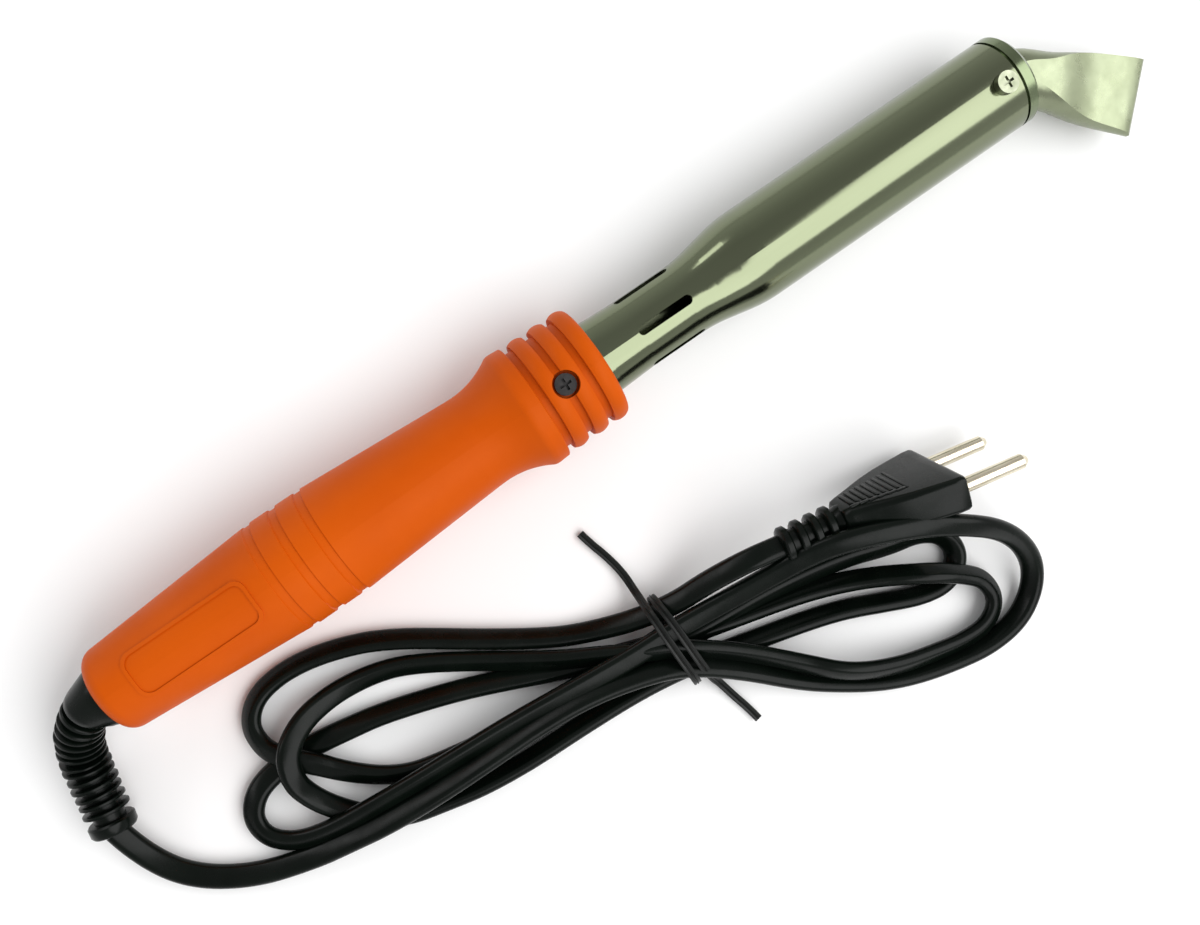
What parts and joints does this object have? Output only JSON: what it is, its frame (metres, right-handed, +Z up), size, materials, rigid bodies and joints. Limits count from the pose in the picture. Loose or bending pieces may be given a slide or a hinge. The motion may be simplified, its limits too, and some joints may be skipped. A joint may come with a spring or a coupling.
{
  "type": "soldering iron",
  "caption": "Mains soldering iron with a ringed plastic handle, plated barrel, bent chisel tip, and a flat lead tied in a hank that ends in a round-pin plug.",
  "frame": {"origin": "on the floor, below the middle of the tool's bounding box; the cord, hank and plug are left out of that box", "axes": "+X along the tool towards the tip, +Z up from the floor; the hank and plug lie on the -Y side"},
  "size_m": [0.3455, 0.1423, 0.0336],
  "materials": {
    "handle_plastic": "satin orange heat-resistant plastic",
    "barrel_steel": "bright plated steel with light marks",
    "cap_steel": "bright plated steel ring",
    "screw_black": "blackened steel",
    "screw_steel": "plated steel",
    "tip_plate": "plated copper, dull satin",
    "cord_pvc": "glossy black PVC",
    "tie_pvc": "black wire-cored strip",
    "pin_nickel": "nickel-plated brass",
    "brass": "turned brass",
    "ceramic": "unglazed white ceramic",
    "mica": "mica sheet",
    "resistance_wire": "resistance wire",
    "glass_fibre": "white glass-fibre tape",
    "core_insulation": "PVC-insulated copper core",
    "inner_plastic": "hard plastic"
  },
  "bodies": {
    "iron": {"handle": "handle_plastic", "handle_screws": "screw_black", "barrel": "barrel_steel", "front_cap": "cap_steel", "heater_core": "screw_steel", "clamp_ring": "screw_steel", "mica_inner": "mica", "heating_winding": "resistance_wire", "mica_outer": "mica", "fibre_wrap": "glass_fibre", "heater_end_disc": "ceramic", "neck_bush": "ceramic", "heater_lead_live": "resistance_wire", "heater_lead_neutral": "resistance_wire", "lead_sleeve_live": "glass_fibre", "lead_sleeve_neutral": "glass_fibre", "cord_core_live": "core_insulation", "cord_core_neutral": "core_insulation", "terminal_block": "ceramic", "terminal_tubes": "brass", "terminal_screws": "screw_steel", "strain_relief": "cord_pvc", "cord_sheath": "cord_pvc", "cord_lead": "cord_pvc", "cord_tail": "cord_pvc", "cord_hank": "cord_pvc", "cord_tie": "tie_pvc", "plug_body": "cord_pvc", "plug_pins": "pin_nickel", "pin_bridge": "inner_plastic"},
    "tip": {"soldering_tip": "tip_plate"},
    "screw": {"tip_screw": "screw_steel"}
  },
  "joints": [
    {"name": "tip_slide", "type": "slide", "parent": "iron", "child": "tip", "axis": [0.9997, 0, -0.0251], "range_m": [0, 0.082]},
    {"name": "tip_screw_turn", "type": "hinge", "parent": "iron", "child": "screw", "pos_m": [0.11461, 0.00594, 0.02482], "axis": [0.0249, -0.1219, 0.9922], "continuous": true}
  ]
}
